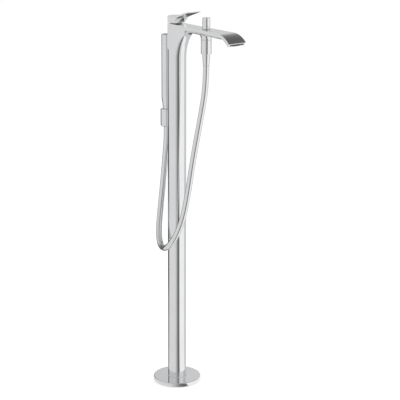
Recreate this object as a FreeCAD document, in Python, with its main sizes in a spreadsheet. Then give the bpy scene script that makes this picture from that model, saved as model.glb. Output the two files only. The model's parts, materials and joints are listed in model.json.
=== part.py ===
import FreeCAD, Part
import math
import os
import re
import Sketcher

# Floor standing bath filler.
# Millimetres. Z is up and the floor is z = 0. The column stands on the origin, the spout
# points along -Y, the hand shower hangs behind the column at +Y, and hot is on the -X side.

SIZES = {
    # floor flange
    "flange_dia": 115.0,
    "flange_height": 11.5,
    "flange_wall": 1.5,
    "flange_round": 1.4,
    "gasket_thick": 1.0,
    "gasket_inner_dia": 46.0,
    "floor_gap": 0.2,
    "bolt_circle": 84.0,
    "bolt_hole_dia": 8.5,
    "seal_width": 0.9,
    # column
    "column_dia": 44.0,
    "column_wall": 2.0,
    "seam_height": 808.0,
    "spigot_height": 85.0,
    "plug_length": 25.0,
    "spigot_web": 1.8,
    "spigot_wall": 0.6,
    "supply_pipe_dia": 12.0,
    "supply_pipe_wall": 1.5,
    "inlet_wall": 1.3,
    "inlet_height": 23.0,
    "inlet_thread_length": 12.0,
    "tail_thread_dia": 10.0,
    "tail_flange_dia": 14.0,
    "tail_flange_height": 5.0,
    "tail_length": 14.0,
    "tail_washer_thick": 1.0,
    "pipe_seat_depth": 6.0,
    "set_screw_dia": 5.0,
    "set_screw_length": 8.0,
    "set_screw_sunk": 0.5,
    "set_screw_socket": 3.0,
    "set_screw_room": 0.2,
    "low_screw_rise": 20.0,
    "high_screw_drop": 13.0,
    "foot_screw_dia": 6.0,
    "foot_screw_circle": 28.0,
    "foot_screw_reach": 15.0,
    "core_ring_dia": 2.1,
    "core_groove_depth": 2.2,
    "core_groove_width": 2.6,
    "core_ring_edge": 8.0,
    "plug_ring_edge": 4.0,
    # fits
    "fit_gap": 0.3,
    "snug_gap": 0.05,
    "end_gap": 0.1,
    "end_room": 0.5,
    "washer_inset": 0.2,
    # head
    "head_height": 80.3,
    "head_width": 34.0,
    "flat_rise": 44.0,
    "flat_runout": 65.0,
    "throat_radius": 82.0,
    "throat_angle": 40.0,
    # spout
    "spout_side": 6.6,
    "spout_depth": 15.3,
    "spout_tip_width": 49.0,
    "spout_flare_radius": 4000.0,
    "bend_start": 180.0,
    "bend_radius": 56.0,
    "bend_angle": 46.5,
    "tip_lean": 30.5,
    "tip_thick": 8.5,
    "side_bend_start": 177.0,
    "belly_start": 185.0,
    # waterways
    "channel_width": 24.0,
    "channel_height": 7.0,
    "channel_roof": 3.3,
    "mouth_width": 40.0,
    "mouth_height": 4.4,
    "mouth_depth": 2.0,
    "drilling_dia": 5.6,
    "rise_drop": 18.0,
    "rise_back": 8.0,
    "rise_front": 34.0,
    "channel_back": 20.0,
    "channel_overrun": 6.0,
    "bend_way_width": 20.0,
    "bend_way_roof": 2.6,
    "bend_way_height": 4.0,
    "outlet_sunk": 0.6,
    "outlet_edge": 3.0,
    "outlet_slot": 1.6,
    # cartridge
    "cartridge_dia": 26.0,
    "cartridge_rise": 27.0,
    "cartridge_height": 45.0,
    "spool_dia": 15.2,
    "spool_length": 30.0,
    "stem_dia": 7.0,
    "nut_height": 6.5,
    "nut_lip": 2.3,
    "nut_lip_dia": 19.2,
    "nut_room_dia": 23.6,
    "housing_floor": 3.0,
    "housing_ring_dia": 1.7,
    "housing_groove_depth": 1.6,
    "housing_groove_width": 2.2,
    "housing_groove_edge": 5.0,
    "housing_way_dia": 2.2,
    "housing_way_height": 16.0,
    "housing_window_width": 6.0,
    "housing_window_height": 7.0,
    "housing_window_drop": 16.0,
    "spool_rest": 8.0,
    "spool_foot": 5.0,
    "spool_taper": 2.0,
    "spool_waist_depth": 2.5,
    "spool_waist_top": 16.0,
    "spool_groove_low": 22.0,
    "spool_groove_depth": 1.5,
    "spool_groove_width": 2.0,
    "spool_ring_dia": 1.4,
    "stem_neck_dia": 5.0,
    "stem_neck_height": 6.0,
    "stem_button_dia": 8.0,
    "stem_button_height": 1.2,
    # lever
    "cap_lift": 2.7,
    "cap_height": 14.0,
    "lever_reach": 67.0,
    "lever_rise": 19.0,
    "lever_tip_width": 37.0,
    "lever_thick": 3.6,
    "pivot_back": 14.0,
    "pivot_lift": 7.7,
    "pivot_pin_dia": 3.0,
    "pivot_lug_width": 8.0,
    "pivot_lug_depth": 5.6,
    "pivot_ear_width": 3.0,
    "pivot_ear_depth": 7.9,
    "pivot_ear_height": 6.6,
    "pivot_ear_back": 2.7,
    "pivot_pin_length": 15.0,
    "carrier_arm_width": 12.0,
    "carrier_arm_thick": 1.7,
    "pivot_gap": 0.5,
    "link_width": 21.4,
    "link_front": 8.0,
    "link_back": 5.0,
    "link_back_wall": 3.0,
    "link_rise": 4.7,
    "link_height": 8.2,
    "link_wall": 5.5,
    "fork_thick": 2.2,
    "fork_throat": 1.5,
    "cap_roof": 3.4,
    "cap_back_wall": 1.6,
    "cap_room_width": 22.0,
    "lever_screw_dia": 4.0,
    "lever_screw_length": 7.0,
    "lever_screw_start": 8.6,
    "lever_screw_place": 2.0,
    "lever_screw_rise": 1.0,
    # diverter
    "diverter_place": 110.0,
    "knob_dia": 18.0,
    "knob_height": 26.0,
    "knob_gap": 0.6,
    "knob_cap_height": 8.0,
    "knob_wall": 3.0,
    "knob_round": 0.6,
    "seam_bevel": 0.3,
    "diverter_stem_dia": 5.0,
    "chamber_dia": 17.0,
    "chamber_drop": 17.3,
    "boss_dia": 25.0,
    "boss_drop": 7.4,
    "boss_height": 12.0,
    "boss_flare": 3.5,
    "boss_flare_height": 6.5,
    "hose_port_dia": 10.0,
    "port_floor": 1.0,
    "bush_dia": 15.2,
    "bush_height": 5.5,
    "bush_cup_depth": 2.7,
    "spring_cup_dia": 12.4,
    "piston_height": 3.8,
    "piston_floor": 1.2,
    "diverter_washer_thick": 1.2,
    "stem_ring_dia": 1.4,
    "stem_ring_groove": 1.6,
    "cap_peg": 3.0,
    "spring_dia": 9.2,
    "spring_wire": 0.8,
    # hose
    "hose_dia": 14.2,
    "hose_nut_dia": 24.8,
    "hose_nut_height": 32.5,
    "hose_nut_gap": 0.6,
    "hose_nut_floor": 5.5,
    "hose_bore": 9.0,
    "hose_thread_dia": 20.4,
    "nipple_dia": 14.0,
    "nipple_rise": 14.5,
    "nipple_lip": 2.0,
    "nipple_web": 3.0,
    "nipple_hole_dia": 8.0,
    "valve_dia": 12.0,
    "valve_bore": 6.0,
    "hose_nut_bevel": 0.5,
    "ferrule_wall": 0.5,
    "swivel_dia": 15.8,
    "swivel_collar_dia": 19.6,
    "hose_washer_thick": 2.3,
    "ferrule_dia": 17.8,
    "ferrule_length": 25.5,
    "ferrule_band": 8.0,
    # hand shower
    "hand_back": 40.0,
    "hand_dia": 24.5,
    "hand_head_height": 23.0,
    "hand_length": 148.6,
    "hand_rim": 3.0,
    "hand_round": 1.5,
    "neck_flare": 0.4,
    "neck_height": 6.0,
    "shoulder_height": 14.0,
    "head_socket_depth": 10.0,
    "head_socket_wall": 1.8,
    "head_groove_depth": 1.1,
    "head_groove_width": 2.4,
    "head_ring_dia": 1.2,
    "head_ring_drop": 5.0,
    "spray_depth": 3.0,
    "spray_thick": 2.4,
    "spray_ring": 6.6,
    "nozzle_dia": 1.7,
    "nozzle_bore": 0.8,
    "nozzle_height": 0.6,
    "hand_thread_dia": 14.4,
    "hand_thread_length": 15.3,
    "hand_bore": 9.0,
    "neck_dia": 19.4,
    "cone_rise": 4.0,
    "cone_height": 44.4,
    "cone_floor": 22.1,
    "cone_hole_dia": 10.4,
    "hand_tail_bore": 6.0,
    "hand_tail_collar": 3.9,
    "hand_washer_thick": 2.5,
    "hand_washer_bore": 8.0,
    "cone_bottom_dia": 17.2,
    # holder
    "holder_dia": 29.5,
    "holder_bottom": 638.0,
    "holder_height": 42.0,
    "holder_slot": 15.4,
    "holder_wall": 3.4,
    "holder_taper": 0.5,
    "holder_foot_bevel": 1.6,
    "holder_rim_bevel": 0.5,
    "holder_neck_width": 16.0,
    "holder_neck_edge": 6.0,
    "holder_screw_dia": 5.0,
    "holder_screw_head": 2.1,
    "rivet_nut_depth": 8.0,
    "rivet_nut_wall": 1.0,
    "rivet_bulge": 3.5,
    "rivet_bulge_wall": 2.4,
    "rivet_bulge_gap": 1.3,
    "holder_socket_dia": 2.8,
}

# Levels and sizes that follow from the ones above.
FOLLOWING = {
    "head_top": "seam_height + head_height",
    "flat_start": "seam_height + flat_rise",
    "cartridge_floor": "seam_height + cartridge_rise",
    "chamber_floor": "head_top - chamber_drop",
    "inlet_hole": "column_dia / 2 - column_wall - fit_gap - spigot_wall - spigot_web / 2",
    "inlet_dia": "inlet_hole - 2 * fit_gap",
    "inlet_thread_dia": "inlet_dia - 2 * inlet_wall",
    "supply_spacing": "inlet_hole + spigot_web",
    "hose_start": "head_top - spout_depth - boss_drop - hose_nut_gap - hose_nut_height - ferrule_length",
    "cone_bottom": "holder_bottom + cone_rise",
    "hand_bottom": "cone_bottom + cone_height",
    "hand_seam": "hand_bottom + hand_length",
    "hand_top": "hand_seam + hand_head_height",
}

SPRING_TURNS = 6

# Share of the spray ring's radius, and nozzles, in each ring.
NOZZLE_RINGS = ((0, 1), (0.5, 6), (1, 12))

# The hose's route as x, y, z, from the ferrule under the spout to the hand shower's nut.
HOSE_ROUTE = (
    (0, -110, 807),
    (0, -110, 757),
    (-11, -103, 677),
    (-21, -90, 587),
    (-29, -81, 500),
    (-38, -74, 440),
    (-49, -61, 395),
    (-55, -40, 366),
    (-51, -13, 353),
    (-43, 13, 360),
    (-31, 32, 392),
    (-18, 41, 442),
    (-8, 44, 502),
    (-2, 44, 560),
    (0, 40, 607),
    (0, 40, 642),
)

doc = FreeCAD.newDocument("BathFiller")
sheet = doc.addObject("Spreadsheet::Sheet", "Sizes")
for row, (word, number) in enumerate(SIZES.items(), start=1):
    sheet.set(f"A{row}", word)
    sheet.set(f"B{row}", str(number))
    sheet.setAlias(f"B{row}", word)
doc.recompute()

pieces = {}


# ---- expressions -------------------------------------------------------------------------

def spelled(text):
    """The expression with every size read from the sheet, and what follows from sizes worked out."""
    def read(found):
        word = found.group()
        if word in FOLLOWING:
            return f"({spelled(FOLLOWING[word])})"
        return "Sizes." + word if word in SIZES else word
    return re.sub(r"[a-z_]+", read, text)


def size(text):
    """The number that an expression gives now."""
    return float(sheet.evalExpression(spelled(text)))


def bind(thing, **properties):
    """Tie properties to expressions; x, y and z are the placement's base."""
    for word, text in properties.items():
        path = f"Placement.Base.{word}" if word in ("x", "y", "z") else word
        thing.setExpression(path, spelled(text))


# Levels and places that several pieces share.
PLATE_TOP = "(flange_height - flange_wall)"
COLUMN_R = "(column_dia / 2)"
BORE_R = "(column_dia / 2 - column_wall)"
PLUG_R = "(column_dia / 2 - column_wall - fit_gap)"
SUPPLY_X = "(supply_spacing / 2)"
PIPE_SEAT = "(gasket_thick + inlet_height - pipe_seat_depth)"
PLUG_BOTTOM = "(seam_height - plug_length)"
LOW_SCREW_Z = "(flange_height - flange_wall + low_screw_rise)"
HIGH_SCREW_Z = "(seam_height - high_screw_drop)"
CORE_RING_R = "(column_dia / 2 - column_wall - core_ring_dia / 2 - snug_gap)"
CARTRIDGE_TOP = "(cartridge_floor + cartridge_height)"
SHELF = "(head_top - spout_side)"
KEEL = "(head_top - spout_depth)"
BEND_Z = "(head_top - bend_radius)"
TIP_U = "(bend_start + bend_radius * sin(bend_angle))"
TIP_Z = "(head_top - bend_radius + bend_radius * cos(bend_angle))"
LIP_U = f"({TIP_U} - tip_thick * sin(tip_lean))"
LIP_Z = f"({TIP_Z} - tip_thick * cos(tip_lean))"
CHANNEL_TOP = "(head_top - channel_roof)"
CAP_BOTTOM = "(head_top + cap_lift)"
CAP_TOP = "(head_top + cap_lift + cap_height)"
PIVOT_Z = "(head_top + pivot_lift)"
BUSH_BOTTOM = "(head_top - fit_gap - bush_height)"
BOSS_BOTTOM = "(head_top - spout_depth - boss_drop)"
DIVERTER_Y = "(0 - diverter_place)"
KNOB_BOTTOM = "(head_top + knob_gap)"
NUT_TOP = f"({BOSS_BOTTOM} - hose_nut_gap)"
NUT_BOTTOM = f"({BOSS_BOTTOM} - hose_nut_gap - hose_nut_height)"
NIPPLE_BOTTOM = f"({NUT_BOTTOM} + nipple_rise)"
SCREW_Z = "(holder_bottom + holder_height / 2)"

FORWARD = FreeCAD.Vector(0, -1, 0)
BACK = FreeCAD.Vector(0, 1, 0)
SIDE = FreeCAD.Vector(1, 0, 0)
UP = FreeCAD.Vector(0, 0, 1)
DOWN = FreeCAD.Vector(0, 0, -1)


def turned_to(x_dir, y_dir):
    """The rotation that lays a piece's own X and Y along two directions."""
    return FreeCAD.Rotation(x_dir, y_dir, x_dir.cross(y_dir), "ZXY")


# ---- simple solids -----------------------------------------------------------------------

def cylinder(name, radius, height, x="0", y="0", z="0", axis=None):
    solid = doc.addObject("Part::Cylinder", name)
    if axis is not None:
        solid.Placement.Rotation = FreeCAD.Rotation(UP, axis)
    bind(solid, Radius=radius, Height=height, x=x, y=y, z=z)
    return solid


def cone(name, low, high, height, x="0", y="0", z="0", axis=None):
    solid = doc.addObject("Part::Cone", name)
    if axis is not None:
        solid.Placement.Rotation = FreeCAD.Rotation(UP, axis)
    bind(solid, Radius1=low, Radius2=high, Height=height, x=x, y=y, z=z)
    return solid


def block(name, width, depth, height, x="0", y="0", z="0"):
    """A block centred on x and y that stands on z."""
    solid = doc.addObject("Part::Box", name)
    bind(solid, Length=width, Width=depth, Height=height)
    bind(solid, x=f"({x}) - ({width}) / 2", y=f"({y}) - ({depth}) / 2", z=z)
    return solid


def torus(name, ring, section, sweep, y, z, x_dir, y_dir):
    """Part of a ring about an axis along X, from x_dir towards y_dir."""
    solid = doc.addObject("Part::Torus", name)
    solid.Placement.Rotation = turned_to(x_dir, y_dir)
    bind(solid, Radius1=ring, Radius2=section, Angle3=sweep, y=y, z=z)
    return solid


def o_ring(name, ring, section, x="0", y="0", z="0"):
    solid = doc.addObject("Part::Torus", name)
    bind(solid, Radius1=ring, Radius2=section, x=x, y=y, z=z)
    return solid


def cut(name, base, *tools):
    result = doc.addObject("Part::Cut", name)
    result.Base = base
    result.Tool = tools[0] if len(tools) == 1 else fuse(name + "_tools", *tools)
    return result


def fuse(name, *parts):
    result = doc.addObject("Part::MultiFuse", name)
    result.Shapes = list(parts)
    return result


def common(name, *parts):
    result = doc.addObject("Part::MultiCommon", name)
    result.Shapes = list(parts)
    return result


def group(name, *parts):
    result = doc.addObject("Part::Compound", name)
    result.Links = list(parts)
    return result


def tube(name, outer, inner, height, x="0", y="0", z="0"):
    wall = cylinder(name + "_outer", outer, height, x, y, z)
    return cut(name, wall, cylinder(name + "_bore", inner, height, x, y, z))


# ---- sketched solids ---------------------------------------------------------------------

def draw(sketch, corners):
    """Close an outline through corners, each (across, up) or (across, up, radius).

    A radius makes the side that ends at that corner an arc: a positive one bulges to the
    left of its direction, and a negative one to the right. Every corner and radius is
    tied to its expression.
    """
    places = [FreeCAD.Vector(size(c[0]), size(c[1]), 0) for c in corners]
    count = len(corners)
    for i in range(count):
        start, end = places[i - 1], places[i]
        if len(corners[i]) == 2:
            sketch.addGeometry(Part.LineSegment(start, end), False)
            continue
        radius = size(corners[i][2])
        chord = end - start
        left = FreeCAD.Vector(-chord.y, chord.x, 0).normalize()
        sagitta = abs(radius) - math.sqrt(radius ** 2 - (chord.Length / 2) ** 2)
        middle = (start + end) * 0.5 + left * math.copysign(sagitta, radius)
        sketch.addGeometry(Part.Arc(start, middle, end), False)
    for i in range(count):
        first, last = side_ends(corners[i])
        before = (i - 1) % count
        sketch.addConstraint(Sketcher.Constraint("Coincident", before, side_ends(corners[before])[1], i, first))
        tie(sketch, "DistanceX", i, last, corners[i][0])
        tie(sketch, "DistanceY", i, last, corners[i][1])
        if len(corners[i]) == 3:
            text = corners[i][2]
            mark = sketch.addConstraint(Sketcher.Constraint("Radius", i, abs(size(text))))
            sketch.setExpression(f"Constraints[{mark}]", spelled(f"abs({text})"))


def side_ends(corner):
    """The numbers of a side's first and last point: an arc that bulges left runs backwards."""
    backwards = len(corner) == 3 and size(corner[2]) > 0
    return (2, 1) if backwards else (1, 2)


def tie(sketch, kind, side, point, text):
    """Hold one coordinate of a point to an expression."""
    mark = sketch.addConstraint(Sketcher.Constraint(kind, -1, 1, side, point, size(text)))
    sketch.setExpression(f"Constraints[{mark}]", spelled(text))


def plane(body, role):
    return next(f for f in body.Origin.OriginFeatures if f.Role == role)


def turned(name, corners, x="0", y="0"):
    """A piece turned about Z: its outline is (radius, height) corners."""
    body = doc.addObject("PartDesign::Body", name)
    sketch = body.newObject("Sketcher::SketchObject", name + "_outline")
    sketch.AttachmentSupport = (plane(body, "XZ_Plane"), [""])
    sketch.MapMode = "FlatFace"
    draw(sketch, corners)
    solid = body.newObject("PartDesign::Revolution", name + "_turned")
    solid.Profile = sketch
    solid.ReferenceAxis = (sketch, ["V_Axis"])
    solid.Angle = 360
    body.Tip = solid
    bind(body, x=x, y=y)
    return body


def padded(name, corners, x_dir, y_dir, width):
    """An outline drawn on x_dir and y_dir through the origin, padded evenly both ways."""
    body = doc.addObject("PartDesign::Body", name)
    sketch = body.newObject("Sketcher::SketchObject", name + "_outline")
    sketch.AttachmentSupport = (plane(body, "XY_Plane"), [""])
    sketch.MapMode = "FlatFace"
    draw(sketch, corners)
    solid = body.newObject("PartDesign::Pad", name + "_pad")
    solid.Profile = sketch
    solid.Midplane = True
    bind(solid, Length=width)
    body.Tip = solid
    body.Placement.Rotation = turned_to(x_dir, y_dir)
    return body


def piece(name, thing):
    thing.Label = name
    pieces[name] = thing


# ---- floor flange ------------------------------------------------------------------------

def bolt_holes(radius, height, z):
    """Four holes on the bolt circle, on the X and Y axes."""
    reach = "bolt_circle / 2"
    holes = []
    for i, (x, y) in enumerate(((reach, "0"), ("0", reach), (f"0 - {reach}", "0"), ("0", f"0 - {reach}"))):
        holes.append(cylinder(f"bolt_hole_{i}", radius, height, x, y, z))
    return holes


def foot_screw_holes(name, radius, height, z):
    reach = "foot_screw_circle / 2"
    front = cylinder(name + "_front", radius, height, "0", f"0 - {reach}", z)
    back = cylinder(name + "_back", radius, height, "0", reach, z)
    return [front, back]


def inlet_holes(name, radius, height, z):
    hot = cylinder(name + "_hot", radius, height, f"0 - {SUPPLY_X}", "0", z)
    cold = cylinder(name + "_cold", radius, height, SUPPLY_X, "0", z)
    return [hot, cold]


def floor_flange():
    outer = "flange_dia / 2"
    inside = "(flange_dia / 2 - flange_wall)"
    plate_r = f"({inside} - fit_gap)"
    # rubber sheet that the plate stands on, open at the bolts
    ring = tube("gasket_ring", plate_r, "gasket_inner_dia / 2", "gasket_thick")
    holes = bolt_holes("bolt_hole_dia / 2", "gasket_thick", "0")
    piece("floor_gasket", cut("floor_gasket", ring, *holes))
    # steel plate with four floor bolts, two foot screws and two inlets
    thick = f"({PLATE_TOP} - gasket_thick)"
    disc = cylinder("plate_disc", plate_r, thick, z="gasket_thick")
    holes = bolt_holes("bolt_hole_dia / 2", thick, "gasket_thick")
    holes += foot_screw_holes("plate_screw", "foot_screw_dia / 2 + snug_gap", thick, "gasket_thick")
    holes += inlet_holes("plate_inlet", "inlet_dia / 2 + snug_gap", thick, "gasket_thick")
    for sign, side in (("0 -", "front"), ("0 +", "back")):
        sink = cone("plate_sink_" + side, "foot_screw_dia", "foot_screw_dia / 2 + snug_gap",
                    "foot_screw_dia / 2", "0", f"{sign} foot_screw_circle / 2", "gasket_thick")
        holes.append(sink)
    piece("base_plate", cut("base_plate", disc, *holes))
    # polished cover with a rounded rim, resting on the plate
    hole = f"{COLUMN_R} + fit_gap + seal_width"
    piece("flange_cover", turned("flange_cover", [
        (hole, PLATE_TOP),
        (inside, PLATE_TOP),
        (inside, "floor_gap"),
        (outer, "floor_gap"),
        (outer, "flange_height - flange_round"),
        (f"{outer} - flange_round", "flange_height", "0 - flange_round"),
        (hole, "flange_height"),
    ]))
    seal = tube("cover_seal", f"{hole} - snug_gap", f"{COLUMN_R} + snug_gap", "flange_wall", z=PLATE_TOP)
    piece("cover_seal_ring", seal)


def foot_screw(name, y):
    """Countersunk screw, driven up through the plate into the spigot."""
    radius = "foot_screw_dia / 2"
    head = cone(name + "_head", "foot_screw_dia - 0.3", radius, f"{radius} - 0.3", "0", y, "gasket_thick")
    shank = cylinder(name + "_shank", radius, f"{PLATE_TOP} - gasket_thick + foot_screw_reach",
                     "0", y, "gasket_thick")
    return cut(name, fuse(name + "_solid", head, shank),
               cylinder(name + "_socket", f"{radius} / 2", "2", "0", y, "gasket_thick"))


def column_spigot():
    """Brass core on the plate that the column slides over."""
    core = cylinder("spigot_core", PLUG_R, "spigot_height", z=PLATE_TOP)
    socket_room = f"gasket_thick + inlet_height + end_room - {PLATE_TOP}"
    tools = inlet_holes("spigot_inlet", "inlet_dia / 2 + fit_gap", socket_room, PLATE_TOP)
    tools += inlet_holes("spigot_pipe", "supply_pipe_dia / 2 + fit_gap", "spigot_height", PLATE_TOP)
    tools += foot_screw_holes("spigot_screw", "foot_screw_dia / 2 + snug_gap", "foot_screw_reach + 2 * end_room",
                              PLATE_TOP)
    groove_z = f"{PLATE_TOP} + spigot_height - core_ring_edge"
    groove = core_groove("spigot_groove", groove_z)
    pocket = set_screw_pocket("spigot_pocket", LOW_SCREW_Z)
    piece("column_spigot", cut("column_spigot", core, groove, pocket, *tools))
    ring = o_ring("spigot_o_ring", CORE_RING_R, "core_ring_dia / 2", z=groove_z)
    piece("spigot_o_ring", ring)
    reach = "foot_screw_circle / 2"
    screws = group("spigot_screws", foot_screw("foot_screw_front", f"0 - {reach}"),
                   foot_screw("foot_screw_back", reach))
    piece("spigot_screws", screws)
    piece("column_grub_screw", grub_screw("column_grub_screw", LOW_SCREW_Z))


def grub_screw(name, z):
    """Headless screw through the back of the column."""
    end = f"{COLUMN_R} - set_screw_sunk"
    shank = cylinder(name + "_shank", "set_screw_dia / 2", "set_screw_length", "0",
                     f"{end} - set_screw_length", z, BACK)
    socket = cylinder(name + "_socket", "set_screw_dia / 4", "set_screw_socket", "0",
                      f"{end} - set_screw_socket", z, BACK)
    return cut(name, shank, socket)


def set_screw_pocket(name, z):
    """Blind hole for a headless screw, in the core that the column slides over."""
    return cylinder(name, "set_screw_dia / 2 + snug_gap", "set_screw_length + 4 * set_screw_sunk",
                    "0", f"{COLUMN_R} - set_screw_length - 2 * set_screw_sunk", z, BACK)


def core_groove(name, z):
    """O-ring groove round a core inside the column."""
    return tube(name, COLUMN_R, f"{BORE_R} - core_groove_depth", "core_groove_width",
                z=f"{z} - core_groove_width / 2")


# ---- column and supplies -----------------------------------------------------------------

def column():
    height = f"seam_height - {PLATE_TOP}"
    wall = tube("column_wall_tube", COLUMN_R, BORE_R, height, z=PLATE_TOP)
    hole_r = "set_screw_dia / 2 + set_screw_room"
    low = cylinder("column_low_hole", hole_r, "column_dia", "0", "0", LOW_SCREW_Z, BACK)
    high = cylinder("column_high_hole", hole_r, "column_dia", "0", "0", HIGH_SCREW_Z, BACK)
    nut_r = "holder_screw_dia / 2 + rivet_nut_wall + snug_gap"
    holder = cylinder("column_holder_hole", nut_r, "column_dia", "0", "0", SCREW_Z, BACK)
    piece("column_tube", cut("column_tube", wall, low, high, holder))


def supply(name, x):
    """One supply: the threaded inlet, the pipe and the fitting that screws into the head."""
    pipe_r = "supply_pipe_dia / 2"
    bore_r = "(supply_pipe_dia / 2 - supply_pipe_wall)"
    piece(name + "_inlet_socket", tube(name + "_inlet_socket", "inlet_dia / 2", "inlet_thread_dia / 2",
                                       "inlet_thread_length", x, "0", "gasket_thick"))
    washer_low = f"{PLUG_BOTTOM} - tail_washer_thick"
    top = f"{washer_low} - tail_flange_height"
    piece(name + "_supply_pipe", tube(name + "_pipe", pipe_r, bore_r, f"{top} - {PIPE_SEAT}", x, "0", PIPE_SEAT))
    thread_r = "tail_thread_dia / 2"
    piece(name + "_tail_fitting", turned(name + "_tail_fitting", [
        ("drilling_dia / 2", f"{top} - tail_length"),
        (f"{bore_r} - snug_gap", f"{top} - tail_length"),
        (f"{bore_r} - snug_gap", top),
        ("tail_flange_dia / 2", top),
        ("tail_flange_dia / 2", washer_low),
        (thread_r, washer_low),
        (thread_r, f"{PLUG_BOTTOM} + tail_length"),
        ("drilling_dia / 2", f"{PLUG_BOTTOM} + tail_length"),
    ], x=x))


def inlet_collar(name, x):
    """Ring on top of an inlet socket that holds the pipe."""
    bore_r = "supply_pipe_dia / 2 - supply_pipe_wall"
    low = "gasket_thick + inlet_thread_length + end_gap"
    top = "gasket_thick + inlet_height"
    return turned(name, [
        (bore_r, low),
        ("inlet_dia / 2", low),
        ("inlet_dia / 2", top),
        ("supply_pipe_dia / 2 + snug_gap", top),
        ("supply_pipe_dia / 2 + snug_gap", PIPE_SEAT),
        (bore_r, PIPE_SEAT),
    ], x=x)


def supplies():
    supply("hot", f"0 - {SUPPLY_X}")
    supply("cold", SUPPLY_X)
    collars = [inlet_collar("hot_collar", f"0 - {SUPPLY_X}"), inlet_collar("cold_collar", SUPPLY_X)]
    piece("inlet_collars", group("inlet_collars", *collars))
    washers = []
    for side, x in (("hot", f"0 - {SUPPLY_X}"), ("cold", SUPPLY_X)):
        washers.append(tube(side + "_washer", "tail_flange_dia / 2 - washer_inset",
                            "tail_thread_dia / 2 + snug_gap", "tail_washer_thick", x, "0",
                            f"{PLUG_BOTTOM} - tail_washer_thick"))
    piece("tail_washers", group("tail_washers", *washers))


# ---- mixer body --------------------------------------------------------------------------

def side_profile(name, bottom_start, bottom, back, extra=()):
    """The spout from the side: flat top, bend, leaning tip and an underside that bends too."""
    run = f"({LIP_U} - {bottom_start})"
    drop = f"({bottom} - {LIP_Z})"
    corners = [
        (back, "head_top"),
        ("bend_start", "head_top"),
        (TIP_U, TIP_Z, "bend_radius"),
        (LIP_U, LIP_Z),
        (bottom_start, bottom, f"0 - ({run} * {run} + {drop} * {drop}) / (2 * {drop})"),
    ]
    corners += list(extra)
    return padded(name, corners, FORWARD, UP, "column_dia + spout_tip_width")


def spout_plate():
    """The wide upper layer of the spout, from the side and then from above."""
    layer = side_profile("plate_side", "side_bend_start", SHELF, "0", [("0", SHELF)])
    half = "head_width / 2"
    tip = "spout_tip_width / 2"
    plan = padded("plate_plan", [
        ("0", f"0 - {half}"),
        (half, f"0 - {half}"),
        (f"{TIP_U} + 1", f"0 - {tip}", "spout_flare_radius"),
        (f"{TIP_U} + 1", tip),
        (half, half, "spout_flare_radius"),
        ("0", half),
    ], FORWARD, SIDE, "3 * head_top")
    return common("spout_plate", layer, plan)


def head_core():
    """Column end, throat and keel: one round section that turns from upright to level."""
    upright = cylinder("head_upright", COLUMN_R, "head_top - seam_height", z="seam_height")
    centre_u = f"({COLUMN_R} + throat_radius)"
    first = torus("throat_first", f"throat_radius + {COLUMN_R}", COLUMN_R, "throat_angle",
                  f"0 - {centre_u}", "seam_height", BACK, UP)
    # the second arc ends level with the keel
    tight = f"(({KEEL} - seam_height - throat_radius * sin(throat_angle)) / (1 - sin(throat_angle)))"
    second = torus("throat_second", f"{tight} + {COLUMN_R}", COLUMN_R, "90 - throat_angle",
                   f"0 - ({centre_u} - (throat_radius - {tight}) * cos(throat_angle))",
                   f"seam_height + (throat_radius - {tight}) * sin(throat_angle)", UP, BACK)
    keel_z = f"{KEEL} + {COLUMN_R}"
    level = cylinder("keel_level", COLUMN_R, "bend_start", z=keel_z, axis=FORWARD)
    bent = torus("keel_bent", f"bend_radius - spout_depth + {COLUMN_R}", COLUMN_R, "bend_angle + 10",
                 "0 - bend_start", BEND_Z, UP, FORWARD)
    mass = fuse("head_mass", upright, first, second, level, bent)
    room = side_profile("head_room", "belly_start", KEEL, "0 - column_dia", [
        (f"{COLUMN_R} + throat_radius", KEEL),
        (f"{COLUMN_R} + throat_radius", "seam_height"),
        ("0 - column_dia", "seam_height"),
    ])
    # side flats that run out into the round column
    half = "head_width / 2"
    depth = f"({COLUMN_R} + 1 - {half})"
    run = f"sqrt(2 * flat_runout * {depth} - {depth} * {depth})"
    wide = f"{COLUMN_R} + 1"
    flats = padded("head_flats", [
        (f"0 - ({wide})", "seam_height - 1"),
        (wide, "seam_height - 1"),
        (wide, f"flat_start - {run}"),
        (half, "flat_start", "flat_runout"),
        (half, "head_top + 1"),
        (f"0 - {half}", "head_top + 1"),
        (f"0 - {half}", "flat_start"),
        (f"0 - ({wide})", f"flat_start - {run}", "flat_runout"),
    ], SIDE, UP, "5 * bend_start")
    return common("head_core", mass, room, flats)


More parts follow.
